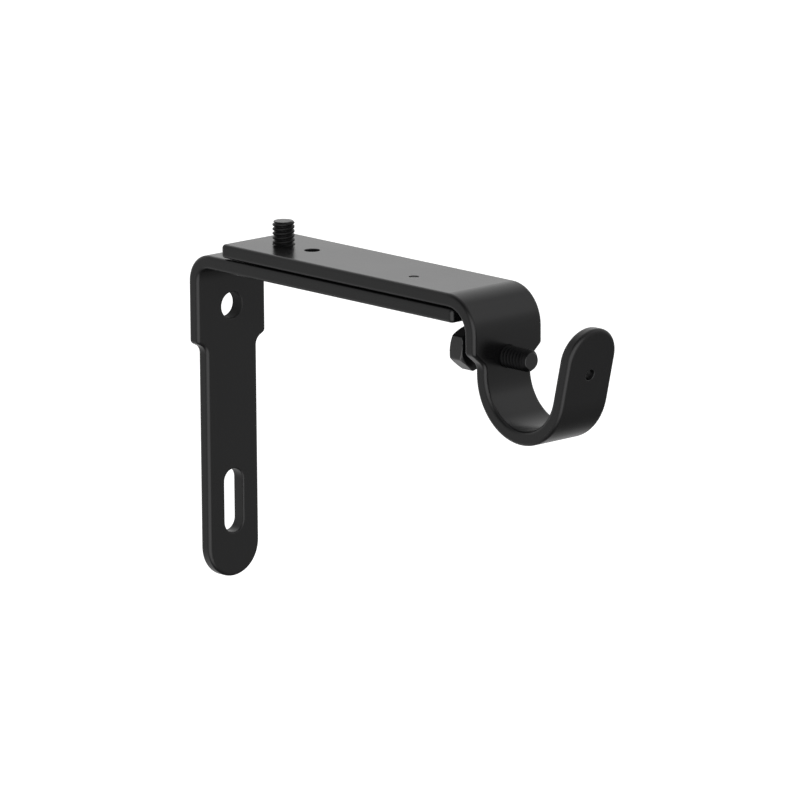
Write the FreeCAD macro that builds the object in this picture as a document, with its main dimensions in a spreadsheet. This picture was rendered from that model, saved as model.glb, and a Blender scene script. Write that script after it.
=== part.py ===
"""Adjustable curtain pole bracket: two folded steel strips and two screws.

Millimetres. The wall is the plane x = 0 and the bracket stands out along +X, Y runs
along the wall and Z is up. The origin is the centre of the round screw hole where it
meets the wall.
"""

import FreeCAD, Part
import Sketcher
import math
import os

from FreeCAD import Placement, Rotation, Vector

doc = FreeCAD.newDocument("pole_bracket")

# Driving dimensions
SIZES = [
    ("strip_width", 26.0, "width of both steel strips"),
    ("strip_thick", 4.0, "thickness of both strips with their coating"),
    ("edge_round", 1.0, "rounding along every edge of a strip"),
    ("arm_gap", 0.3, "gap between the two arms"),
    ("rim_round", 0.4, "rounding of the punched screw holes at the room side"),
    ("wall_bend_inner", 4.5, "inner radius of the wall bracket's fold"),
    ("hole_drop", 17.0, "from the top of the wall bracket's arm down to the screw hole"),
    ("wall_arm_reach", 111.4, "from the wall to the free end of the wall bracket's arm"),
    ("arm_end_round", 1.3, "corner radius at that free end"),
    ("shoulder_drop", 9.6, "from the screw hole down to the plate's shoulders"),
    ("shoulder_run", 1.8, "height of the straight part of a plate shoulder"),
    ("tail_width", 19.2, "width of the plate below its shoulders"),
    ("tail_reach", 80.6, "from the screw hole down to the end of the tail"),
    ("shoulder_outer_round", 1.3, "outer corner radius of every shoulder"),
    ("shoulder_inner_round", 3.0, "inner corner radius of every shoulder"),
    ("screw_hole_dia", 7.6, "round screw hole"),
    ("screw_slot_width", 7.1, "slotted screw hole, width"),
    ("screw_slot_length", 19.0, "slotted screw hole, end to end"),
    ("screw_slot_rise", 22.6, "from the end of the tail up to the middle of the slot"),
    ("screw_dia", 6.35, "both screws, over the thread"),
    ("thread_gap", 0.05, "radial clearance of a screw in its tapped hole"),
    ("guide_gap", 0.4, "radial clearance of the clamp screw in the long slot"),
    ("arm_travel", 50.0, "how far the hook arm slides out"),
    ("arm_start", 14.3, "from the wall to the near end of the hook arm"),
    ("arm_start_round", 1.3, "corner radius at that near end"),
    ("stud_inset", 12.6, "from the hook arm's near end to the clamp screw"),
    ("spare_hole_dia", 4.6, "second hole in the hook arm"),
    ("spare_hole_step", 12.2, "from the clamp screw to the second hole"),
    ("dimple_dia", 2.9, "punched dimple in the hook arm"),
    ("dimple_depth", 0.2, "depth of the dimple"),
    ("dimple_inset", 72.0, "from the hook arm's near end to the dimple"),
    ("dimple_offset", 4.1, "from the middle of the strip to the dimple"),
    ("bend_inner", 7.0, "inner radius of the hook arm's fold"),
    ("bend_tuck", 2.1, "how far the wall bracket's arm reaches under that fold"),
    ("neck_drop", 16.1, "from the top of the hook arm down to the neck's shoulders"),
    ("neck_run", 3.6, "height of the straight part of a neck shoulder"),
    ("hook_width", 17.6, "width of the hook strip"),
    ("hook_inner", 13.5, "inner radius of the hook, for a rod of 25.4"),
    ("hook_drop", 22.3, "from the top of the hook arm down to the hook's centre"),
    ("flare", 13.5, "outward lean of the hook's tip, in degrees"),
    ("tip_drop", 4.8, "from the top of the hook arm down to the top of the tip"),
    ("tip_hole_dia", 3.2, "hole in the tip"),
    ("tip_hole_drop", 17.2, "from the top of the hook arm down to the tip's hole"),
    ("lock_drop", 18.0, "from the top of the hook arm down to the rod screw's axis"),
    ("lock_reach", 9.4, "how far the rod screw stands out of the neck"),
    ("lock_length", 22.2, "rod screw under its head"),
    ("hex_flats", 11.1, "rod screw's head across flats"),
    ("hex_height", 5.3, "height of that head"),
    ("hex_turn", -9.0, "how far that head stopped from corner-up, in degrees"),
    ("hex_crown", 0.7, "height of the turned-off corners of that head"),
    ("clamp_reach", 6.85, "how far the clamp screw stands out of the hook arm"),
    ("clamp_head_dia", 11.0, "clamp screw's domed head"),
    ("clamp_head_height", 2.5, "height of that head"),
    ("clamp_head_rim", 0.6, "straight rim of that head"),
    ("clamp_seat_gap", 0.1, "gap under that head while the arm is free to slide"),
    ("socket_flats", 4.0, "hexagon socket in the domed head, across flats"),
    ("socket_depth", 1.4, "depth of that socket"),
    ("point_chamfer", 1.0, "chamfer at the point of a screw"),
]

sheet = doc.addObject("Spreadsheet::Sheet", "Sizes")
for row, (name, value, meaning) in enumerate(SIZES, start=1):
    sheet.set(f"A{row}", meaning)
    sheet.set(f"B{row}", str(value))
    sheet.setAlias(f"B{row}", name)
doc.recompute()

# Places that follow from the sizes, written as sheet formulas
RULES = {
    "hook_arm_under": "Sizes.hole_drop + Sizes.arm_gap",
    "hook_arm_top": "Sizes.hole_drop + Sizes.arm_gap + Sizes.strip_thick",
    "wall_arm_under": "Sizes.hole_drop - Sizes.strip_thick",
    "stud_x": "Sizes.arm_start + Sizes.stud_inset",
    "neck_back": "Sizes.wall_arm_reach - Sizes.bend_tuck + Sizes.bend_inner",
}
RULES["neck_front"] = f"{RULES['neck_back']} + Sizes.strip_thick"
RULES["hook_x"] = f"{RULES['neck_front']} + Sizes.hook_inner"
RULES["hook_z"] = f"{RULES['hook_arm_top']} - Sizes.hook_drop"
RULES["lock_z"] = f"{RULES['hook_arm_top']} - Sizes.lock_drop"

MARGIN = "2 * Sizes.strip_thick"


def size(name):
    """The present value of a named size."""
    return float(getattr(sheet, name))


def value(formula):
    """The present value of a formula in the sheet's names."""
    return float(sheet.evalExpression(formula))


# Sketch helpers
def new_sketch(body, name, plane, offset=None):
    """A sketch on one of the body's own planes, moved by offset formulas (x, y, z)."""
    sketch = body.newObject("Sketcher::SketchObject", name)
    base = [feature for feature in body.Origin.OriginFeatures if feature.Role == plane][0]
    sketch.AttachmentSupport = (base, [""])
    sketch.MapMode = "FlatFace"
    for axis, formula in zip("xyz", offset or ()):
        sketch.setExpression(f"AttachmentOffset.Base.{axis}", formula)
    return sketch


def pin_point(sketch, geometry, point, place):
    """Hold a point of the sketch at the two formulas in place."""
    for kind, formula in zip(("DistanceX", "DistanceY"), place):
        if value(formula) == 0:
            axis = -2 if kind == "DistanceX" else -1
            sketch.addConstraint(Sketcher.Constraint("PointOnObject", geometry, point, axis))
            continue
        number = sketch.addConstraint(
            Sketcher.Constraint(kind, -1, 1, geometry, point, value(formula))
        )
        sketch.setExpression(f"Constraints[{number}]", formula)


def outline(sketch, places):
    """A closed outline of straight lines through places, each a pair of formulas."""
    points = [Vector(value(across), value(up), 0) for across, up in places]
    following = points[1:] + points[:1]
    lines = [
        sketch.addGeometry(Part.LineSegment(here, there), False)
        for here, there in zip(points, following)
    ]
    for line, after in zip(lines, lines[1:] + lines[:1]):
        sketch.addConstraint(Sketcher.Constraint("Coincident", line, 2, after, 1))
    for line, place in zip(lines, places):
        pin_point(sketch, line, 1, place)


def circle(sketch, place, diameter):
    """A circle at a pair of formulas, with its diameter bound to a formula."""
    centre = Vector(value(place[0]), value(place[1]), 0)
    ring = sketch.addGeometry(
        Part.Circle(centre, Vector(0, 0, 1), value(diameter) / 2), False
    )
    pin_point(sketch, ring, 3, place)
    number = sketch.addConstraint(
        Sketcher.Constraint("Diameter", ring, value(diameter))
    )
    sketch.setExpression(f"Constraints[{number}]", diameter)


def slot(sketch, first, last, width):
    """A slot with round ends about two centres that lie along one sketch axis."""
    start = Vector(value(first[0]), value(first[1]), 0)
    end = Vector(value(last[0]), value(last[1]), 0)
    radius = value(width) / 2
    heading = math.atan2(end.y - start.y, end.x - start.x)
    side = Vector(-math.sin(heading), math.cos(heading), 0) * radius
    quarter = math.pi / 2
    near = Part.ArcOfCircle(
        Part.Circle(start, Vector(0, 0, 1), radius), heading + quarter, heading + 3 * quarter
    )
    far = Part.ArcOfCircle(
        Part.Circle(end, Vector(0, 0, 1), radius), heading - quarter, heading + quarter
    )
    near, far = [sketch.addGeometry(arc, False) for arc in (near, far)]
    lower = sketch.addGeometry(Part.LineSegment(start - side, end - side), False)
    upper = sketch.addGeometry(Part.LineSegment(end + side, start + side), False)
    for joint in ((near, 2, lower, 1), (lower, 2, far, 1), (far, 2, upper, 1), (upper, 2, near, 1)):
        sketch.addConstraint(Sketcher.Constraint("Tangent", *joint))
    pin_point(sketch, near, 3, first)
    pin_point(sketch, far, 3, last)
    sketch.addConstraint(Sketcher.Constraint("Equal", near, far))
    number = sketch.addConstraint(Sketcher.Constraint("Radius", near, radius))
    sketch.setExpression(f"Constraints[{number}]", f"({width}) / 2")


def round_end_waste(sketch, centre_up, radius, heading):
    """What is cut away to leave a half-round end; heading is +1 for up, -1 for down."""
    middle = value(centre_up)
    reach = value(radius)
    margin = value(MARGIN)
    turn = 0 if heading > 0 else math.pi
    arc = sketch.addGeometry(
        Part.ArcOfCircle(
            Part.Circle(Vector(0, middle, 0), Vector(0, 0, 1), reach), turn, turn + math.pi
        ),
        False,
    )
    side = heading * (reach + margin)
    corners = [
        Vector(-heading * reach, middle, 0),
        Vector(-side, middle, 0),
        Vector(-side, middle + side, 0),
        Vector(side, middle + side, 0),
        Vector(side, middle, 0),
        Vector(heading * reach, middle, 0),
    ]
    lines = [
        sketch.addGeometry(Part.LineSegment(here, there), False)
        for here, there in zip(corners, corners[1:])
    ]
    chain = [arc] + lines
    for line, after in zip(chain, chain[1:] + chain[:1]):
        sketch.addConstraint(Sketcher.Constraint("Coincident", line, 2, after, 1))
    pin_point(sketch, arc, 3, ("0", centre_up))
    number = sketch.addConstraint(Sketcher.Constraint("Radius", arc, reach))
    sketch.setExpression(f"Constraints[{number}]", radius)
    for line in (lines[0], lines[4]):
        sketch.addConstraint(Sketcher.Constraint("Horizontal", line))
    for line in (lines[1], lines[3]):
        sketch.addConstraint(Sketcher.Constraint("Vertical", line))
    sketch.addConstraint(Sketcher.Constraint("PointOnObject", arc, 3, lines[0]))
    sketch.addConstraint(Sketcher.Constraint("PointOnObject", arc, 3, lines[4]))
    sketch.addConstraint(Sketcher.Constraint("Symmetric", lines[1], 2, lines[2], 2, -2))
    for line in (lines[0], lines[1]):
        length = sketch.addConstraint(
            Sketcher.Constraint("Distance", line, value(MARGIN) + (0 if line == lines[0] else reach))
        )
        extra = "" if line == lines[0] else f" + {radius}"
        sketch.setExpression(f"Constraints[{length}]", f"{MARGIN}{extra}")


def hexagon(sketch, flats, turned="0"):
    """A regular hexagon about the sketch's origin, its first corner turned from the X axis."""
    corner = f"({flats}) / sqrt(3)"
    outline(sketch, [
        (f"{corner} * cos(({turned} + {angle}) * 1deg)",
         f"{corner} * sin(({turned} + {angle}) * 1deg)")
        for angle in range(0, 360, 60)
    ])


# Feature helpers
def pad(body, name, sketch, length, midplane=False, upwards=True):
    """Thicken a sketch by a formula, to both sides or along its normal."""
    feature = body.newObject("PartDesign::Pad", name)
    feature.Profile = sketch
    feature.Midplane = midplane
    feature.Reversed = not upwards
    feature.setExpression("Length", length)
    doc.recompute()
    return feature


def pocket(body, name, sketch, depth=None, along=True):
    """Cut a sketch out of the body, along its normal or against it, to a depth or through."""
    feature = body.newObject("PartDesign::Pocket", name)
    feature.Profile = sketch
    feature.Reversed = along
    if depth is None:
        feature.Type = "ThroughAll"
    else:
        feature.setExpression("Length", depth)
    before = feature.BaseFeature.Shape.Volume
    doc.recompute()
    if feature.Shape.Volume >= before:
        raise RuntimeError(f"{name} cuts nothing")
    return feature


def edges_where(feature, test):
    """Names of the feature's edges whose shape passes a test."""
    return [
        f"Edge{number}"
        for number, edge in enumerate(feature.Shape.Edges, start=1)
        if test(edge)
    ]


def is_upright_at(across, tolerance=0.01):
    """Test for edges parallel to Z whose x is across."""
    def test(edge):
        ends = [vertex.Point for vertex in edge.Vertexes]
        if len(ends) != 2:
            return False
        same_place = all(abs(end.x - across) < tolerance for end in ends)
        return same_place and abs(ends[0].y - ends[1].y) < tolerance
    return test


def is_fold_line(across, up, tolerance=0.01):
    """Test for edges parallel to Y through the point (across, up) of the XZ plane."""
    def test(edge):
        ends = [vertex.Point for vertex in edge.Vertexes]
        return len(ends) == 2 and all(
            math.hypot(end.x - across, end.z - up) < tolerance for end in ends
        )
    return test


def is_step_line(aside, up, tolerance=0.01):
    """Test for edges parallel to X at (aside, up) on either side of the middle."""
    def test(edge):
        ends = [vertex.Point for vertex in edge.Vertexes]
        return len(ends) == 2 and all(
            math.hypot(abs(end.y) - aside, end.z - up) < tolerance for end in ends
        )
    return test


def sharp_edges(feature):
    """Names of the edges where two faces meet at a real corner."""
    shape = feature.Shape
    names = []
    for number, edge in enumerate(shape.Edges, start=1):
        faces = shape.ancestorsOfType(edge, Part.Face)
        if len(faces) != 2:
            continue
        middle = edge.valueAt((edge.FirstParameter + edge.LastParameter) / 2)
        normals = [face.normalAt(*face.Surface.parameter(middle)) for face in faces]
        if normals[0].getAngle(normals[1]) > math.radians(30):
            names.append(f"Edge{number}")
    return names


def fillet(body, name, base, edges, radius):
    """Round the named edges of a feature by a formula."""
    if not edges:
        raise RuntimeError(f"{name} finds no edges")
    feature = body.newObject("PartDesign::Fillet", name)
    feature.Base = (base, edges)
    feature.setExpression("Radius", radius)
    doc.recompute()
    return feature


def new_body(name):
    """An empty body whose label names its file."""
    body = doc.addObject("PartDesign::Body", name)
    body.Label = name
    doc.recompute()
    return body


# Wall bracket: a strip folded into an upright plate and a level arm
def make_wall_bracket():
    body = new_body("wall_bracket")
    arm_top = "Sizes.hole_drop"
    arm_under = RULES["wall_arm_under"]
    side_view = new_sketch(body, "wall_side_view", "XZ_Plane")
    outline(side_view, [
        ("0", "-Sizes.tail_reach"),
        ("Sizes.strip_thick", "-Sizes.tail_reach"),
        ("Sizes.strip_thick", arm_under),
        ("Sizes.wall_arm_reach", arm_under),
        ("Sizes.wall_arm_reach", arm_top),
        ("0", arm_top),
    ])
    strip = pad(body, "wall_strip", side_view, "Sizes.strip_width", midplane=True)

    outer = edges_where(strip, is_fold_line(0, value(arm_top)))
    strip = fillet(body, "wall_fold_outside", strip, outer,
                   "Sizes.wall_bend_inner + Sizes.strip_thick")
    inner = edges_where(strip, is_fold_line(size("strip_thick"), value(arm_under)))
    strip = fillet(body, "wall_fold_inside", strip, inner, "Sizes.wall_bend_inner")

    # The tail: both sides cut back below slanted shoulders
    half = "Sizes.strip_width / 2"
    tail = "Sizes.tail_width / 2"
    slope_top = "-Sizes.shoulder_drop"
    slope_end = "-Sizes.shoulder_drop - Sizes.shoulder_run"
    for name, hand in (("near", "-1 * "), ("far", "")):
        sides = new_sketch(body, f"wall_{name}_side", "YZ_Plane")
        outline(sides, [
            (f"{hand}({half})", slope_top),
            (f"{hand}({half} + {MARGIN})", slope_top),
            (f"{hand}({half} + {MARGIN})", f"-Sizes.tail_reach - {MARGIN}"),
            (f"{hand}({tail})", f"-Sizes.tail_reach - {MARGIN}"),
            (f"{hand}({tail})", slope_end),
        ])
        strip = pocket(body, f"wall_{name}_side_cut", sides)
    tops = edges_where(strip, is_step_line(value(half), value(slope_top)))
    strip = fillet(body, "wall_shoulder_tops", strip, tops, "Sizes.shoulder_outer_round")
    roots = edges_where(strip, is_step_line(value(tail), value(slope_end)))
    strip = fillet(body, "wall_shoulder_roots", strip, roots, "Sizes.shoulder_inner_round")
    end = new_sketch(body, "wall_tail_end", "YZ_Plane")
    round_end_waste(end, f"-Sizes.tail_reach + {tail}", tail, heading=-1)
    strip = pocket(body, "wall_tail_end_cut", end)

    corners = edges_where(strip, is_upright_at(size("wall_arm_reach")))
    strip = fillet(body, "wall_arm_corners", strip, corners, "Sizes.arm_end_round")
    strip = fillet(body, "wall_edges", strip, sharp_edges(strip), "Sizes.edge_round")

    # Screw holes in the plate
    holes = new_sketch(body, "wall_screw_holes", "YZ_Plane")
    circle(holes, ("0", "0"), "Sizes.screw_hole_dia")
    half_run = "(Sizes.screw_slot_length - Sizes.screw_slot_width) / 2"
    slot(holes,
         ("0", f"Sizes.screw_slot_rise - Sizes.tail_reach - {half_run}"),
         ("0", f"Sizes.screw_slot_rise - Sizes.tail_reach + {half_run}"),
         "Sizes.screw_slot_width")
    strip = pocket(body, "wall_screw_hole_cut", holes, depth=MARGIN)

    widest = max(size("screw_hole_dia"), size("screw_slot_width"))

    def is_front_rim(edge):
        corners = edge.BoundBox
        inside = corners.YMax < widest / 2 + 0.1
        below_fold = corners.ZMax < size("screw_hole_dia")
        front = abs(corners.XMin - size("strip_thick")) < 0.01 and corners.XLength < 0.01
        return inside and below_fold and front

    strip = fillet(body, "wall_hole_rims", strip, edges_where(strip, is_front_rim),
                   "Sizes.rim_round")

    # The long slot that the clamp screw travels in
    guide = new_sketch(body, "wall_guide_slot", "XY_Plane", ("0", "0", arm_under))
    slot(guide,
         (RULES["stud_x"], "0"),
         (f"{RULES['stud_x']} + Sizes.arm_travel", "0"),
         "Sizes.screw_dia + 2 * Sizes.guide_gap")
    pocket(body, "wall_guide_slot_cut", guide, depth="Sizes.strip_thick")
    return body


# Hook arm: a strip folded down to a neck and rolled into a hook
def make_hook_arm():
    body = new_body("hook_arm")
    under = RULES["hook_arm_under"]
    top = RULES["hook_arm_top"]
    back = RULES["neck_back"]
    front = RULES["neck_front"]
    hook_x = RULES["hook_x"]
    hook_z = RULES["hook_z"]
    outer = "(Sizes.hook_inner + Sizes.strip_thick)"
    side_view = new_sketch(body, "arm_side_view", "XZ_Plane")
    outline(side_view, [
        ("Sizes.arm_start", under),
        (back, under),
        (back, hook_z),
        (front, hook_z),
        (front, top),
        ("Sizes.arm_start", top),
    ])
    strip = pad(body, "arm_strip", side_view, "Sizes.strip_width", midplane=True)
    outside = edges_where(strip, is_fold_line(value(front), value(top)))
    strip = fillet(body, "arm_fold_outside", strip, outside,
                   "Sizes.bend_inner + Sizes.strip_thick")
    inside = edges_where(strip, is_fold_line(value(back), value(under)))
    strip = fillet(body, "arm_fold_inside", strip, inside, "Sizes.bend_inner")

    # The neck narrows to the hook strip below slanted shoulders
    half = "Sizes.strip_width / 2"
    narrow = "Sizes.hook_width / 2"
    slope_top = f"{top} - Sizes.neck_drop"
    slope_end = f"{top} - Sizes.neck_drop - Sizes.neck_run"
    for name, hand in (("near", "-1 * "), ("far", "")):
        sides = new_sketch(body, f"neck_{name}_side", "YZ_Plane", ("0", "0", back))
        outline(sides, [
            (f"{hand}({half})", slope_top),
            (f"{hand}({half} + {MARGIN})", slope_top),
            (f"{hand}({half} + {MARGIN})", f"{hook_z} - {MARGIN}"),
            (f"{hand}({narrow})", f"{hook_z} - {MARGIN}"),
            (f"{hand}({narrow})", slope_end),
        ])
        strip = pocket(body, f"neck_{name}_side_cut", sides)

    # The hook is rolled about the rod and its tip leans outwards
    section = new_sketch(body, "hook_section", "XY_Plane", (hook_x, "0", hook_z))
    outline(section, [
        (f"-{outer}", f"-{narrow}"),
        ("-Sizes.hook_inner", f"-{narrow}"),
        ("-Sizes.hook_inner", narrow),
        (f"-{outer}", narrow),
    ])
    roll = body.newObject("PartDesign::Revolution", "hook_roll")
    roll.Profile = section
    roll.ReferenceAxis = (section, ["V_Axis"])
    roll.Reversed = True
    roll.setExpression("Angle", "180 - Sizes.flare")
    doc.recompute()

    side = "cos(Sizes.flare * 1deg)"
    rise = "sin(Sizes.flare * 1deg)"
    lean = "tan(Sizes.flare * 1deg)"
    root_in = (f"{hook_x} + Sizes.hook_inner * {side}", f"{hook_z} - Sizes.hook_inner * {rise}")
    root_out = (f"{hook_x} + {outer} * {side}", f"{hook_z} - {outer} * {rise}")
    tip_z = f"{top} - Sizes.tip_drop"
    tip = new_sketch(body, "tip_side_view", "XZ_Plane")
    outline(tip, [
        root_in,
        root_out,
        (f"{root_out[0]} + ({tip_z} - ({root_out[1]})) * {lean}", tip_z),
        (f"{root_in[0]} + ({tip_z} - ({root_in[1]})) * {lean}", tip_z),
    ])
    strip = pad(body, "tip_strip", tip, "Sizes.hook_width", midplane=True)

    tops = edges_where(strip, is_step_line(value(half), value(slope_top)))
    strip = fillet(body, "neck_shoulder_tops", strip, tops, "Sizes.shoulder_outer_round")
    roots = edges_where(strip, is_step_line(value(narrow), value(slope_end)))
    strip = fillet(body, "neck_shoulder_roots", strip, roots, "Sizes.shoulder_inner_round")
    end = new_sketch(body, "tip_end", "YZ_Plane", ("0", "0", hook_x))
    round_end_waste(end, f"{tip_z} - {narrow}", narrow, heading=1)
    strip = pocket(body, "tip_end_cut", end)
    corners = edges_where(strip, is_upright_at(size("arm_start")))
    strip = fillet(body, "arm_corners", strip, corners, "Sizes.arm_start_round")
    strip = fillet(body, "arm_edges", strip, sharp_edges(strip), "Sizes.edge_round")

    # Holes and the dimple in the arm
    tapped = "Sizes.screw_dia + 2 * Sizes.thread_gap"
    arm_holes = new_sketch(body, "arm_holes", "XY_Plane", ("0", "0", under))
    circle(arm_holes, (RULES["stud_x"], "0"), tapped)
    circle(arm_holes, (f"{RULES['stud_x']} + Sizes.spare_hole_step", "0"),
           "Sizes.spare_hole_dia")
    pocket(body, "arm_hole_cut", arm_holes, depth=MARGIN)
    dimple_x = "Sizes.arm_start + Sizes.dimple_inset"
    dimple = new_sketch(body, "dimple", "XY_Plane", ("0", "0", top))
    circle(dimple, (dimple_x, "-Sizes.dimple_offset"), "Sizes.dimple_dia")
    pocket(body, "dimple_cut", dimple, depth="Sizes.dimple_depth", along=False)

    # Tapped hole in the neck and the small hole square through the tip
    neck_hole = new_sketch(body, "neck_hole", "YZ_Plane", ("0", "0", back))
    circle(neck_hole, ("0", RULES["lock_z"]), tapped)
    pocket(body, "neck_hole_cut", neck_hole, depth="Sizes.strip_thick")
    hole_z = f"{top} - Sizes.tip_hole_drop"
    hole_x = f"{root_in[0]} + ({hole_z} - ({root_in[1]})) * {lean}"
    tip_hole = new_sketch(body, "tip_hole", "YZ_Plane", ("0", hole_z, hole_x))
    tip_hole.AttachmentOffset = Placement(
        tip_hole.AttachmentOffset.Base, Rotation(Vector(1, 0, 0), size("flare"))
    )
    tip_hole.setExpression("AttachmentOffset.Rotation.Angle", "Sizes.flare")
    circle(tip_hole, ("0", "0"), "Sizes.tip_hole_dia")
    doc.recompute()
    pocket(body, "tip_hole_cut", tip_hole, depth=MARGIN)
    return body


def point_edge(feature):
    """The round edge at the highest end of a screw."""
    highest = feature.Shape.BoundBox.ZMax
    return edges_where(feature, lambda edge: edge.BoundBox.ZMin > highest - 0.01)


def chamfer(body, name, base, edges, width):
    """Bevel the named edges of a feature by a formula."""
    feature = body.newObject("PartDesign::Chamfer", name)
    feature.Base = (base, edges)
    feature.setExpression("Size", width)
    doc.recompute()
    return feature


def add_shank(body, prefix, length):
    """A screw's round shank up from its head, with a bevelled point."""
    section = new_sketch(body, f"{prefix}_shank_section", "XY_Plane")
    circle(section, ("0", "0"), "Sizes.screw_dia")
    shank = pad(body, f"{prefix}_shank", section, length)
    return chamfer(body, f"{prefix}_point", shank, point_edge(shank), "Sizes.point_chamfer")


# Rod lock screw: hexagon head towards the wall, point towards the rod
def make_rod_lock_screw():
    body = new_body("rod_lock_screw")
    add_shank(body, "lock", "Sizes.lock_length")
    head_section = new_sketch(body, "lock_head_section", "XY_Plane")
    hexagon(head_section, "Sizes.hex_flats", "Sizes.hex_turn")
    pad(body, "lock_head", head_section, "Sizes.hex_height", upwards=False)

    # The corners of the hexagon are turned off at both faces
    corner = "Sizes.hex_flats / sqrt(3)"
    inset = f"({corner} - 2 * Sizes.hex_crown)"
    for name, face, inwards in (("outer", "-Sizes.hex_height", "+"), ("inner", "0", "-")):
        waste = new_sketch(body, f"lock_{name}_crown", "XZ_Plane")
        outline(waste, [
            (inset, face),
            (f"{corner} + Sizes.hex_crown", face),
            (f"{corner} + Sizes.hex_crown", f"{face} {inwards} 1.5 * Sizes.hex_crown"),
        ])
        groove = body.newObject("PartDesign::Groove", f"lock_{name}_crown_cut")
        groove.Profile = waste
        groove.ReferenceAxis = (waste, ["V_Axis"])
        groove.Angle = 360
        doc.recompute()
    body.Placement = Placement(Vector(), Rotation(Vector(0, 1, 0), 90))
    body.setExpression("Placement.Base.x",
                       f"{RULES['neck_front']} + Sizes.lock_reach - Sizes.lock_length")
    body.setExpression("Placement.Base.z", RULES["lock_z"])
    doc.recompute()
    return body


# Clamp screw: domed head under the arms, point standing out on top
def make_clamp_screw():
    body = new_body("clamp_screw")
    length = (
        "2 * Sizes.strip_thick + Sizes.arm_gap + Sizes.clamp_seat_gap + Sizes.clamp_reach"
    )
    add_shank(body, "clamp", length)
    head_section = new_sketch(body, "clamp_head_section", "XY_Plane")
    circle(head_section, ("0", "0"), "Sizes.clamp_head_dia")
    head = pad(body, "clamp_head", head_section, "Sizes.clamp_head_height", upwards=False)
    lowest = head.Shape.BoundBox.ZMin
    rim = edges_where(head, lambda edge: edge.BoundBox.ZMax < lowest + 0.01)
    fillet(body, "clamp_dome", head, rim, "Sizes.clamp_head_height - Sizes.clamp_head_rim")
    socket = new_sketch(body, "clamp_socket", "XY_Plane",
                        ("0", "0", "-Sizes.clamp_head_height"))
    hexagon(socket, "Sizes.socket_flats")
    pocket(body, "clamp_socket_cut", socket, depth="Sizes.socket_depth")
    body.setExpression("Placement.Base.x", RULES["stud_x"])
    body.setExpression("Placement.Base.z",
                       f"{RULES['wall_arm_under']} - Sizes.clamp_seat_gap")
    doc.recompute()
    return body


parts = [make_wall_bracket(), make_hook_arm(), make_clamp_screw(), make_rod_lock_screw()]
doc.recompute()

for thing in doc.Objects:
    if "Invalid" in thing.State or "Error" in thing.State:
        raise RuntimeError(f"{thing.Label} failed: {thing.State}")
for part in parts:
    if part.Shape.isNull() or not part.Shape.isValid():
        raise RuntimeError(f"{part.Label} has no valid shape")

os.makedirs("parts", exist_ok=True)
for part in parts:
    part.Shape.exportStep(f"parts/{part.Label}.step")
    box = part.Shape.BoundBox
    print(f"{part.Label}: {part.Shape.Volume:.0f} mm3, {len(part.Shape.Solids)} solid, "
          f"x {box.XMin:.2f} to {box.XMax:.2f}, y {box.YMin:.2f} to {box.YMax:.2f}, "
          f"z {box.ZMin:.2f} to {box.ZMax:.2f}")
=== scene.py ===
# %% [markdown]
# # A curtain pole bracket in black steel
#
# The bracket is four pieces: a folded wall bracket, a hook arm that slides on it, a
# clamp screw that holds the two together and a hexagon-head screw that locks the pole.
# The two folded strips come from the exact model and only need their finish. The two
# screws are built here, because their threads are what makes them look real.

import math

import bpy
import numpy as np
from mathutils import Matrix, Vector


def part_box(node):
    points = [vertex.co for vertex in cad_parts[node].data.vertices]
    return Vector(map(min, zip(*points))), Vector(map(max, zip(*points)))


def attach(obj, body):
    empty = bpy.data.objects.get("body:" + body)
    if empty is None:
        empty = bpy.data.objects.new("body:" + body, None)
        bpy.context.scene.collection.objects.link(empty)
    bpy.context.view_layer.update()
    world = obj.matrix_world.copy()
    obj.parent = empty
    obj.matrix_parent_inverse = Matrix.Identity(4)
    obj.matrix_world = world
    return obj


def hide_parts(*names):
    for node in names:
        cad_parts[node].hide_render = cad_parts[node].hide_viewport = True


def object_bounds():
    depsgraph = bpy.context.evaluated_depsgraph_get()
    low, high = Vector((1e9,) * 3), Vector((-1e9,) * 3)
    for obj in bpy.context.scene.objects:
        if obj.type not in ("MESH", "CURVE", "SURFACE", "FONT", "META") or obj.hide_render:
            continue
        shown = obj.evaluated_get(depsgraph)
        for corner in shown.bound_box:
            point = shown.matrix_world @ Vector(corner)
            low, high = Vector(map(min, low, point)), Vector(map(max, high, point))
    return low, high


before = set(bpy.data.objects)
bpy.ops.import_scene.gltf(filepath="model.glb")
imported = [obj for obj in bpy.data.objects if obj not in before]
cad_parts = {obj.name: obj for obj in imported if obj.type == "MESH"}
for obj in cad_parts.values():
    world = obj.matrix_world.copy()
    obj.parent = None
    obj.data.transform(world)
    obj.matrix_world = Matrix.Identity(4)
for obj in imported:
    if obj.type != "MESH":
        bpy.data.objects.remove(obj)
exact_box = [list(corner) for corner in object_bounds()]
MM = 0.001
print("pieces in the exact model:", sorted(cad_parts))

# %% [markdown]
# ## The camera
#
# The bracket is seen from the room, a little from above, with a long lens that keeps
# its edges almost parallel. A camera is a position and three directions. The first,
# back, comes from an angle round the bracket and an angle above it. The second, level,
# needs only the angle round it, and the cross product of those two gives the third,
# upright. A slight roll then turns the last two.

# %% Place the camera
LOOK_AT = Vector((71.39, 3.93, -17.74)) * MM
DISTANCE = 2021.2 * MM
ROUND = math.radians(47.59)
ABOVE = math.radians(12.81)
ROLL = math.radians(-0.41)
LENS = 321.66
SENSOR = 36
FARTHEST = 50

back = Vector((
    math.sin(ROUND) * math.cos(ABOVE),
    -math.cos(ROUND) * math.cos(ABOVE),
    math.sin(ABOVE),
))
level = Vector((math.cos(ROUND), math.sin(ROUND), 0))
upright = back.cross(level)
right = math.cos(ROLL) * level + math.sin(ROLL) * upright
up = math.cos(ROLL) * upright - math.sin(ROLL) * level

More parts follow.
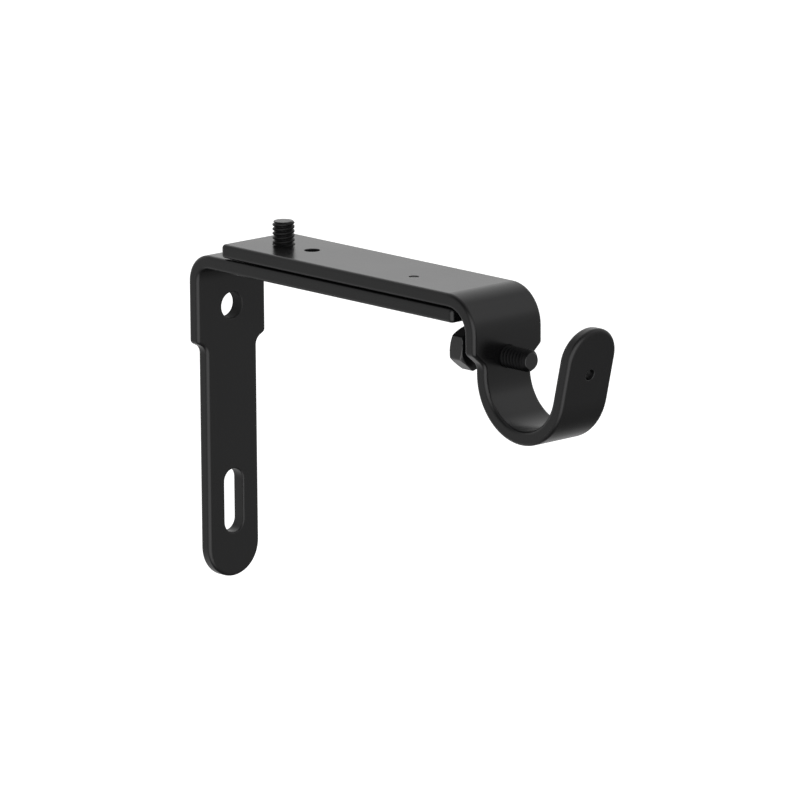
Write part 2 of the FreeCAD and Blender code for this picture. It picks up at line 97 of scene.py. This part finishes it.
camera = bpy.data.objects.new("camera", bpy.data.cameras.new("camera"))
bpy.context.scene.collection.objects.link(camera)
camera.matrix_world = (
    Matrix.Translation(LOOK_AT + back * DISTANCE)
    @ Matrix((right, up, back)).transposed().to_4x4()
)
camera.data.sensor_width = SENSOR
camera.data.lens = LENS
camera.data.clip_end = FARTHEST
bpy.context.scene.camera = camera
print("camera", round(DISTANCE, 3), "m away, lens", LENS, "mm")

# %% [markdown]
# ## Writing shaders as sums
#
# A shader is a graph of nodes, and its maths is hard to read as nodes. This class wraps
# one socket, so that `1 - grain * 0.3` adds the Math nodes for it. Everything that isn't
# plain maths goes through `NodeBench.add`, which sets a node's options first and then
# its sockets.

# %% A socket that can be added and multiplied
class Wire:
    """An output socket that takes part in Python's sums."""

    def __init__(self, bench, socket):
        self.bench = bench
        self.socket = socket

    def maths(self, operation, *values):
        return self.bench.maths(operation, *values)

    def __add__(self, other):
        return self.maths("ADD", self, other)

    def __radd__(self, other):
        return self.maths("ADD", other, self)

    def __sub__(self, other):
        return self.maths("SUBTRACT", self, other)

    def __rsub__(self, other):
        return self.maths("SUBTRACT", other, self)

    def __mul__(self, other):
        return self.maths("MULTIPLY", self, other)

    def __rmul__(self, other):
        return self.maths("MULTIPLY", other, self)

    def __truediv__(self, other):
        return self.maths("DIVIDE", self, other)


print("a wire can be added, subtracted, multiplied and divided")


# %% A bench that adds any node
class NodeBench:
    """A node tree, with one method that adds a node to it."""

    def __init__(self, tree):
        self.tree = tree
        tree.nodes.clear()

    def add(self, kind, settings=None, inputs=None, output=None):
        node = self.tree.nodes.new(kind)
        for name, value in (settings or {}).items():
            if name == "stops":
                self.set_stops(node.color_ramp, value)
            else:
                setattr(node, name, value)
        for name, value in (inputs or {}).items():
            socket = self.find(node.inputs, name)
            if isinstance(value, Wire):
                self.tree.links.new(value.socket, socket)
            else:
                socket.default_value = value
        if not node.outputs:
            return node
        return Wire(self, self.find(node.outputs, output))

    @staticmethod
    def set_stops(ramp, stops):
        """Grey stops on a ramp that starts with two."""
        while len(ramp.elements) < len(stops):
            ramp.elements.new(1.0)
        for element, (place, tone) in zip(ramp.elements, stops):
            element.position = place
            element.color = (tone, tone, tone, 1)

    @staticmethod
    def find(sockets, name):
        """A socket by its place, identifier or name, or the first that is in use."""
        if name is None:
            return next(socket for socket in sockets if socket.enabled)
        if isinstance(name, int):
            return sockets[name]
        by_identifier = {socket.identifier: socket for socket in sockets}
        return by_identifier.get(name) or sockets[name]

    def blend(self, factor, first, second):
        """A colour between first and second."""
        return self.add(
            "ShaderNodeMix",
            {"data_type": "RGBA"},
            {"Factor_Float": factor, "A_Color": first, "B_Color": second},
            "Result_Color",
        )

    def maths(self, operation, *values):
        """One Math node on wires or numbers."""
        inputs = dict(enumerate(values))
        return self.add("ShaderNodeMath", {"operation": operation}, inputs)

    def smooth(self, value, low, high):
        """0 below low, 1 above high and an eased step between them."""
        return self.add(
            "ShaderNodeMapRange", {"interpolation_type": "SMOOTHSTEP"},
            {"Value": value, "From Min": low, "From Max": high},
        )

    def dot(self, first, second):
        """How far two directions agree: 1 for the same, -1 for opposite ones."""
        return self.add(
            "ShaderNodeVectorMath", {"operation": "DOT_PRODUCT"},
            {0: first, 1: second}, "Value",
        )

    def split(self, vector):
        """The three parts of a vector."""
        return [
            self.add("ShaderNodeSeparateXYZ", inputs={"Vector": vector}, output=axis)
            for axis in "XYZ"
        ]

    def noise(self, place, scale, detail):
        """Noise with so many patches to the metre."""
        return self.add(
            "ShaderNodeTexNoise",
            inputs={"Vector": place, "Scale": scale, "Detail": detail},
        )


print("the node bench is ready")


# %% An empty material
def new_finish(name):
    """An empty material and its bench."""
    material = bpy.data.materials.new(name)
    material.use_nodes = True
    return material, NodeBench(material.node_tree)


def give_finish(piece, material):
    """The material in place of all that the piece had."""
    piece.data.materials.clear()
    piece.data.materials.append(material)


print("a finish can be made and given")

# %% [markdown]
# ## Black powder coat
#
# The strips are steel with a baked black powder coat. It is almost black, and what is
# seen of it is gloss: at a low angle its top turns light grey. Baked powder flows out
# into a faint orange peel about two millimetres across, over a much finer grain. One
# noise makes each, and a slow third noise makes some places a little smoother than
# others. The coat rounds the punched edges, and it is thinner and rubbed along them. A
# Bevel node gives the rounded normal, and where that differs from the true one is an
# edge. The edges are painted lighter: partly wear and partly a painted highlight along
# them. The wall of the round wall hole gets a dull, less shiny coat, which darkens it as
# painted shade in the hole. That wall is found by its distance from the hole's middle
# line.

# %% Where the hole's wall gets painted shade
WALL_HOLE_RADIUS = 3.8
HOLE_FADE = (0.1, 0.3)
PLATE_FADE = (5.0, 5.5)


def hole_wall(bench, place):
    """1 on the wall of the round hole through the upright plate, 0 elsewhere."""
    x, y, z = [part / MM for part in bench.split(place)]
    from_middle = bench.maths("SQRT", y * y + z * z)
    fade_start, fade_end = [WALL_HOLE_RADIUS + fade for fade in HOLE_FADE]
    inside = 1 - bench.smooth(from_middle, fade_start, fade_end)
    return inside * (1 - bench.smooth(x, *PLATE_FADE))


print("the hole's wall is found up to", WALL_HOLE_RADIUS, "mm from its middle line")

# %% Powder coat
PEEL_SCALE = 420
GRAIN_SCALE = 3200
CLOUD_SCALE = 38
PEEL_SHARE = 0.75
EDGE_ROUNDING = 0.5 * MM
EDGE_TURN = (0.005, 0.07)
COAT_DARK = (0.005, 0.005, 0.0053, 1)
COAT_LIGHT = (0.009, 0.009, 0.0094, 1)
COAT_RUBBED_AND_HIGHLIGHT = (0.05, 0.05, 0.052, 1)
DULL_SHADE_DARK = (0.009, 0.009, 0.009, 1)
DULL_SHADE_LIGHT = (0.018, 0.018, 0.018, 1)


def powder_coat():
    material, bench = new_finish("powder_coat")
    place = bench.add("ShaderNodeTexCoord", output="Object")
    peel = bench.noise(place, PEEL_SCALE, 1.0)
    grain = bench.noise(place, GRAIN_SCALE, 3.0)
    clouds = bench.noise(place, CLOUD_SCALE, 3.0)
    rounded = bench.add("ShaderNodeBevel", {"samples": 4}, {"Radius": EDGE_ROUNDING})
    bump = bench.add("ShaderNodeBump", inputs={
        "Strength": 0.22,
        "Distance": 0.05 * MM,
        "Height": peel * PEEL_SHARE + grain * (1 - PEEL_SHARE),
        "Normal": rounded,
    })
    true = bench.add("ShaderNodeNewGeometry", output="Normal")
    # Edges painted lighter: partly rubbed wear, partly a painted highlight along them.
    rubbed_and_highlight = bench.smooth(1 - bench.dot(rounded, true), *EDGE_TURN) * clouds
    colour = bench.blend(clouds, COAT_DARK, COAT_LIGHT)
    gloss = bench.add("ShaderNodeBsdfPrincipled", inputs={
        "Base Color": bench.blend(rubbed_and_highlight, colour, COAT_RUBBED_AND_HIGHLIGHT),
        "Roughness": 0.21 + clouds * 0.05 + grain * 0.03 + rubbed_and_highlight * 0.05,
        "Normal": bump,
    })
    # Painted shade: a dull, less shiny coat that darkens the round hole's wall.
    hole_shade_coat = bench.add("ShaderNodeBsdfPrincipled", inputs={
        "Base Color": bench.blend(grain, DULL_SHADE_DARK, DULL_SHADE_LIGHT),
        "Roughness": 0.6 + grain * 0.1,
        "Specular IOR Level": 0.25,
        "Normal": bump,
    })
    surface = bench.add(
        "ShaderNodeMixShader", inputs={0: hole_wall(bench, place), 1: gloss, 2: hole_shade_coat}
    )
    bench.add("ShaderNodeOutputMaterial", inputs={"Surface": surface})
    return material


strip_finish = powder_coat()
for strip in ("wall_bracket", "hook_arm"):
    give_finish(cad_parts[strip], strip_finish)
print("powder coat nodes:", len(strip_finish.node_tree.nodes))

# %% [markdown]
# ## Blackened screws
#
# The screws are blackened steel. Blacking is a thin, oiled skin: the plain faces of the
# head and of the point are smooth under it. The thread is darker and duller than the
# faces, partly because a rolled thread holds more blacking and partly as painted shade,
# most of all on the lock screw's thread, which lies by the neck. The lock screw's hexagon
# is handled and shines most. The change lies where the thread starts and ends, so it is
# found from the place along the screw's axis. The blacking is mottled at a small scale.

# %% Blackened steel
MOTTLE_SCALE = 260
FINE_SCALE = 4200
BORDER = 0.1
FACE_DARK = (0.004, 0.004, 0.0042, 1)
FACE_LIGHT = (0.009, 0.009, 0.0095, 1)
THREAD_DARK = (0.003, 0.003, 0.0032, 1)
THREAD_LIGHT = (0.007, 0.007, 0.0075, 1)


def blackened_steel(name, axis, thread_start, thread_end, face_gloss, thread_gloss_and_shade):
    """Blacking for a screw whose thread lies between two places on axis X or Z."""
    material, bench = new_finish(name)
    place = bench.add("ShaderNodeTexCoord", output="Object")
    mottle = bench.noise(place, MOTTLE_SCALE, 3.0)
    grain = bench.noise(place, FINE_SCALE, 2.0)
    bump = bench.add("ShaderNodeBump", inputs={
        "Strength": 0.2,
        "Distance": 0.03 * MM,
        "Height": grain,
    })
    plain = bench.add("ShaderNodeBsdfPrincipled", inputs={
        "Base Color": bench.blend(mottle, FACE_DARK, FACE_LIGHT),
        "Roughness": 0.2 + mottle * 0.08,
        "Specular IOR Level": face_gloss,
        "Normal": bump,
    })
    # The thread: darker blacking, partly painted shade.
    thread = bench.add("ShaderNodeBsdfPrincipled", inputs={
        "Base Color": bench.blend(mottle, THREAD_DARK, THREAD_LIGHT),
        "Roughness": 0.34 + mottle * 0.1,
        "Specular IOR Level": thread_gloss_and_shade,
        "Normal": bump,
    })
    along = bench.split(place)["XYZ".index(axis)] / MM
    started = bench.smooth(along, thread_start - BORDER, thread_start + BORDER)
    ended = bench.smooth(along, thread_end - BORDER, thread_end)
    surface = bench.add("ShaderNodeMixShader", inputs={
        0: started * (1 - ended), 1: plain, 2: thread,
    })
    bench.add("ShaderNodeOutputMaterial", inputs={"Surface": surface})
    return material


print("blackened steel is ready")

# %% [markdown]
# ## Turned pieces from rings
#
# A screw is a stack of rings. Each ring is round or six-sided, at its own height, and
# neighbouring rings are joined by quads. One helper skins any stack of rings and closes
# both ends with a small fan, so the head, the socket and the thread share it.

# %% Rings
ROUND_STEPS = 96
ANGLES = np.arange(ROUND_STEPS) * 2 * math.pi / ROUND_STEPS
MIDDLE_RADIUS = 0.25


def ring(height, radius):
    """One ring in millimetres; radius is a number or one number for each angle."""
    reach = np.broadcast_to(radius, ANGLES.shape)
    return np.stack([
        reach * np.cos(ANGLES),
        reach * np.sin(ANGLES),
        np.full(ROUND_STEPS, float(height)),
    ], axis=1)


print("rings have", ROUND_STEPS, "points")

# %% Skin a stack of rings
SHARP_EDGE = math.radians(38)


def skin(name, rings, placed):
    """A closed mesh through rings from bottom to top, moved by the matrix placed."""
    ends = [rings[0].mean(axis=0), rings[-1].mean(axis=0)]
    points = np.concatenate([*rings, ends]) * MM
    bottom = len(points) - 2
    top = len(points) - 1
    last = (len(rings) - 1) * ROUND_STEPS
    faces = []
    for below in range(0, last, ROUND_STEPS):
        above = below + ROUND_STEPS
        for step in range(ROUND_STEPS):
            after = (step + 1) % ROUND_STEPS
            faces.append((below + step, below + after, above + after, above + step))
    for step in range(ROUND_STEPS):
        after = (step + 1) % ROUND_STEPS
        faces.append((bottom, after, step))
        faces.append((top, last + step, last + after))
    mesh = bpy.data.meshes.new(name)
    mesh.from_pydata(points.tolist(), [], faces)
    mesh.transform(placed)
    mesh.shade_smooth()
    mesh.set_sharp_from_angle(angle=SHARP_EDGE)
    piece = bpy.data.objects.new(name, mesh)
    bpy.context.scene.collection.objects.link(piece)
    return piece


print("a stack of rings can be skinned")

# %% [markdown]
# ## The thread
#
# A rolled thread of 1.27 mm pitch is a triangular groove that climbs one pitch in every
# turn. The depth of the groove at a height and an angle depends only on how far the
# height is from the thread's line there, so the shank needs no boolean: its radius is a
# function of both. The root and the crest are narrow flats, and the corners beside them
# are a little rounded, as the blacking leaves them. At the point the radius is capped by
# a cone, which gives the chamfer that lets the thread start.

# %% Thread radius
PITCH = 1.27
CREST = 3.175
DEPTH = 0.48
ROOT_FLAT = 0.1
FLANK = 0.55
ROUNDING = 0.2
POINT_SLOPE = 0.85
ROWS_A_TURN = 18


def thread_radius(height):
    """The thread's radius at every angle of one height."""
    turn = (height / PITCH - ANGLES / (2 * math.pi)) % 1.0
    climb = 1 - np.abs(2 * turn - 1)
    flank = np.clip((climb - ROOT_FLAT) / FLANK, 0, 1)
    eased = flank * (1 - ROUNDING) + ROUNDING * flank * flank * (3 - 2 * flank)
    return CREST - DEPTH * (1 - eased)


def threaded_rings(start, end, chamfer):
    """Rings of a thread from start to end, with a chamfer at the end."""
    heights = np.linspace(start, end, int((end - start) / PITCH * ROWS_A_TURN) + 1)
    rings = []
    for height in heights:
        cone = CREST - chamfer + (end - height) * POINT_SLOPE
        rings.append(ring(height, np.minimum(thread_radius(height), cone)))
    return rings


print("thread", PITCH, "mm pitch,", DEPTH, "mm deep")

# %% [markdown]
# ## The clamp screw
#
# Only the threaded end of this screw stands out of the hook arm. Its head sits under
# the arms, where nobody sees it from the room: a low dome with a hexagon socket is the
# usual kind there. The dome is a stack of rings along a quarter circle, and the socket
# is the same stack carried on inwards and up. A hexagon with rounded corners is a ring
# too: its radius is that of the flat or of the corner's arc, whichever is there.

# %% Six-sided ring with rounded corners
SIXTH = math.pi / 3


def hexagon_radius(flats, corner, turned=0.0):
    """The radius of a hexagon at every angle, its corners rounded by corner."""
    half = flats / 2
    middle = (half - corner) / math.cos(SIXTH / 2)
    off = (ANGLES - turned + SIXTH / 2) % SIXTH - SIXTH / 2
    edge_off = math.atan2(corner * 0.5, middle + corner * math.cos(SIXTH / 2))
    flat = half / np.cos(SIXTH / 2 - np.abs(off))
    inside = np.maximum(corner**2 - (middle * np.sin(off)) ** 2, 0)
    curved = middle * np.cos(off) + np.sqrt(inside)
    return np.where(np.abs(off) < edge_off, curved, flat)


print("10 mm hexagon:", round(hexagon_radius(10, 1).max() * 2, 2), "mm over its corners")

# %% Rings of the clamp screw
clamp_low, clamp_high = [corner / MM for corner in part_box("clamp_screw")]
HEAD_RADIUS = (clamp_high.x - clamp_low.x) / 2
HEAD_HEIGHT = 2.5
HEAD_RIM = 0.6
HEAD_EDGE = 0.15
DOME_ROWS = 14
SOCKET_FLATS = 4.0
SOCKET_DEPTH = 1.4
SOCKET_CORNER = 0.15
SOCKET_LEAD_DEPTH = 0.15
SOCKET_LEAD_WIDTH = 0.2
THREAD_LEAD = 0.2
THREAD_GAP = 0.02
CLAMP_CHAMFER = 0.4

socket = hexagon_radius(SOCKET_FLATS, SOCKET_CORNER)
clamp_rings = [
    ring(SOCKET_DEPTH, MIDDLE_RADIUS),
    ring(SOCKET_DEPTH, socket),
    ring(SOCKET_LEAD_DEPTH, socket),
    ring(0.0, socket + SOCKET_LEAD_WIDTH),
]
dome = HEAD_HEIGHT - HEAD_RIM
flat_top = HEAD_RADIUS - dome
for quarter in np.linspace(0, math.pi / 2, DOME_ROWS):
    clamp_rings.append(ring(
        dome * (1 - math.cos(quarter)), flat_top + dome * math.sin(quarter)
    ))
clamp_rings += [
    ring(HEAD_HEIGHT - HEAD_EDGE, HEAD_RADIUS),
    ring(HEAD_HEIGHT, HEAD_RADIUS - HEAD_EDGE),
    ring(HEAD_HEIGHT, CREST - THREAD_LEAD),
]
clamp_rings += threaded_rings(
    HEAD_HEIGHT + THREAD_GAP, clamp_high.z - clamp_low.z, CLAMP_CHAMFER
)
print("clamp screw rings:", len(clamp_rings))

# %% Clamp screw
POINT_FACE = 0.05

stud_place = Vector(((clamp_low.x + clamp_high.x) / 2, 0, clamp_low.z))
clamp_screw = skin(
    "clamp_screw_threaded", clamp_rings, Matrix.Translation(stud_place * MM)
)
give_finish(clamp_screw, blackened_steel(
    "blackened_clamp", "Z", clamp_low.z + HEAD_HEIGHT, clamp_high.z - POINT_FACE,
    face_gloss=0.3, thread_gloss_and_shade=0.28,
))
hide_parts("clamp_screw")
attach(clamp_screw, "clamp_screw")
print("clamp screw faces:", len(clamp_screw.data.polygons))

# %% [markdown]
# ## The rod lock screw
#
# A hexagon-head screw goes through the neck and its point presses on the pole. A forged
# hexagon head has its corners turned off at both faces, so the flats meet the faces in
# shallow arcs. Taking the smaller of a hexagon's radius and a cone's radius, ring by
# ring, gives those arcs without any cutting.

# %% Rings of the rod lock screw
lock_low, lock_high = [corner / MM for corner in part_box("rod_lock_screw")]
FLATS = 11.1
HEX_HEIGHT = 5.3
HEX_CORNER = 0.35
HEX_TURN = math.radians(-9)
HEX_ROWS = 41
FACE_INSET = 0.45
CONE_INSET = 0.3
CONE_SLOPE = 1.6
LOCK_CHAMFER = 0.85

six_sided = hexagon_radius(FLATS, HEX_CORNER, HEX_TURN)
lock_rings = [ring(0.0, MIDDLE_RADIUS), ring(0.0, FLATS / 2 - FACE_INSET)]
for height in np.linspace(0, HEX_HEIGHT, HEX_ROWS):
    near_face = min(height, HEX_HEIGHT - height)
    cone = FLATS / 2 - CONE_INSET + near_face * CONE_SLOPE
    lock_rings.append(ring(height, np.minimum(six_sided, cone)))
lock_rings.append(ring(HEX_HEIGHT, CREST - THREAD_LEAD))
lock_rings += threaded_rings(
    HEX_HEIGHT + THREAD_GAP, lock_high.x - lock_low.x, LOCK_CHAMFER
)
print("rod lock screw rings:", len(lock_rings))

# %% Rod lock screw
lie_down = Matrix.Rotation(math.pi / 2, 4, "Y")
lock_place = Vector((lock_low.x, 0, (lock_low.z + lock_high.z) / 2))
rod_lock_screw = skin(
    "rod_lock_screw_threaded",
    lock_rings,
    Matrix.Translation(lock_place * MM) @ lie_down,
)
# The lock screw's low thread gloss is painted shade where it lies by the neck.
give_finish(rod_lock_screw, blackened_steel(
    "blackened_lock", "X", lock_low.x + HEX_HEIGHT, lock_high.x - POINT_FACE,
    face_gloss=0.8, thread_gloss_and_shade=0.1,
))
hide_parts("rod_lock_screw")
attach(rod_lock_screw, "rod_lock_screw")
print("rod lock screw faces:", len(rod_lock_screw.data.polygons))

# %% [markdown]
# ## Floor
#
# The bracket belongs on a wall above a window, so nothing rests on the floor, which is a
# plain pale sheet two metres below. That also leaves room to look at the bracket from
# underneath. The floor glows a little of its own, because a white floor in a picture of
# black things is lit until it is as white as the backdrop, and the black gloss must not
# see that glow.

# %% Pale floor
FLOOR_DROP = 2.0
FLOOR_HALF = 12.0
FLOOR_CLOUD_SCALE = 3


def pale_floor():
    material, bench = new_finish("pale_floor")
    place = bench.add("ShaderNodeTexCoord", output="Object")
    cloud = bench.noise(place, FLOOR_CLOUD_SCALE, 2.0)
    colour = bench.blend(cloud, (0.86, 0.86, 0.86, 1), (0.9, 0.9, 0.9, 1))
    surface = bench.add("ShaderNodeBsdfPrincipled", inputs={
        "Base Color": colour, "Roughness": 0.9, "Specular IOR Level": 0.1,
        "Emission Color": (1, 1, 1, 1), "Emission Strength": 0.75,
    })
    bench.add("ShaderNodeOutputMaterial", inputs={"Surface": surface})
    return material


floor_mesh = bpy.data.meshes.new("floor")
floor_mesh.from_pydata(
    [
        (x * FLOOR_HALF, y * FLOOR_HALF, 0)
        for x, y in ((-1, -1), (1, -1), (1, 1), (-1, 1))
    ],
    [],
    [(0, 1, 2, 3)],
)
floor = bpy.data.objects.new("floor", floor_mesh)
floor.location = (0, 0, exact_box[0][2] - FLOOR_DROP)
floor.visible_glossy = False
floor.visible_diffuse = False
bpy.context.scene.collection.objects.link(floor)
give_finish(floor, pale_floor())
print("floor at", round(floor.location.z, 3), "m")

# %% [markdown]
# ## Light as surroundings
#
# Black gloss shows its surroundings more than itself, so the light is planned as
# surroundings. A white wall stands behind the bracket, on its +Y side, and fades out
# towards the front. The level faces mirror the bright part of it at a low angle, and
# each bend runs through the rest: the wall is dimmer high up, brighter again low on the
# right, and darkest underneath. The ramp says how bright the wall is at each angle round
# the Y axis. It starts below the far left and goes up, over and down again. Two low
# cards stand in front of the bracket. The right one gives the upright edges their thin
# bright lines, and the left one is what the strips' near edges mirror. All else is dim.

# %% Surroundings
DIM = 0.10
WALL_START = -60
WALL_FADE = (-0.8, 0.45)
WALL = [
    # angle, brightness
    (-60, 0.32), (-40, 0.55), (-14, 0.50), (14, 0.93), (30, 0.74), (50, 0.74),
    (68, 0.62), (88, 0.42), (102, 0.38), (120, 0.42), (138, 0.50), (155, 0.47),
    (175, 0.34), (197, 0.30), (224, 0.16), (240, 0.09), (262, 0.02), (280, 0.06),
    (300, 0.32),
]
CARDS = [
    # towards,             full inside, gone outside, brightness
    ((0.72, -0.66, -0.15), 28, 62, 1.35),
    ((-0.72, -0.66, -0.22), 25, 60, 0.37),
]


def surroundings():
    world = bpy.data.worlds.new("studio")
    world.use_nodes = True
    bench = NodeBench(world.node_tree)
    direction = bench.add("ShaderNodeTexCoord", output="Generated")
    x, y, z = bench.split(direction)
    turns = bench.maths("ARCTAN2", z, -1 * x) / (2 * math.pi)
    turns = bench.maths("FRACT", turns - WALL_START / 360 + 1)
    wall = bench.add("ShaderNodeValToRGB", {"stops": [
        ((angle - WALL_START) / 360, tone) for angle, tone in WALL
    ]}, {"Fac": turns})
    tone = wall * bench.smooth(y, *WALL_FADE) + DIM
    for towards, inside, outside, brightness in CARDS:
        nearness = bench.dot(direction, Vector(towards).normalized())
        card = bench.smooth(
            nearness, math.cos(math.radians(outside)), math.cos(math.radians(inside))
        )
        tone = card * brightness + tone
    lit = bench.add("ShaderNodeBackground", inputs={"Color": tone})
    seen = bench.add("ShaderNodeBackground", inputs={"Color": (1, 1, 1, 1)})
    to_camera = bench.add("ShaderNodeLightPath", output="Is Camera Ray")
    both = bench.add("ShaderNodeMixShader", inputs={0: to_camera, 1: lit, 2: seen})
    bench.add("ShaderNodeOutputWorld", inputs={"Surface": both})
    bpy.context.scene.world = world


surroundings()
print("a wall of", len(WALL), "tones and", len(CARDS), "cards")

# %% [markdown]
# ## A soft box
#
# One large soft box stands behind on the right, in front of the white wall. It gives
# the shadows a direction, so that the gaps between the pieces read as gaps.

# %% Soft box
def soft_box(name, towards, away, size, power):
    """A square light that faces the bracket from the direction towards."""
    light = bpy.data.lights.new(name, "AREA")
    light.size = size
    light.energy = power
    lamp = bpy.data.objects.new(name, light)
    from_bracket = Vector(towards).normalized()
    lamp.location = LOOK_AT + from_bracket * away
    lamp.rotation_euler = (-from_bracket).to_track_quat("-Z", "Y").to_euler()
    bpy.context.scene.collection.objects.link(lamp)


soft_box("back_right", towards=(0.45, 0.66, 0.6), away=1.6, size=1.0, power=0.6)
bpy.context.scene.view_settings.view_transform = "Standard"
print("one soft box")

# %% [markdown]
# ## The size
#
# The finished bracket must fill the same box as the exact model. The exact model's
# box is printed here.

# %% Print the exact model's box
print("exact  ", exact_box)
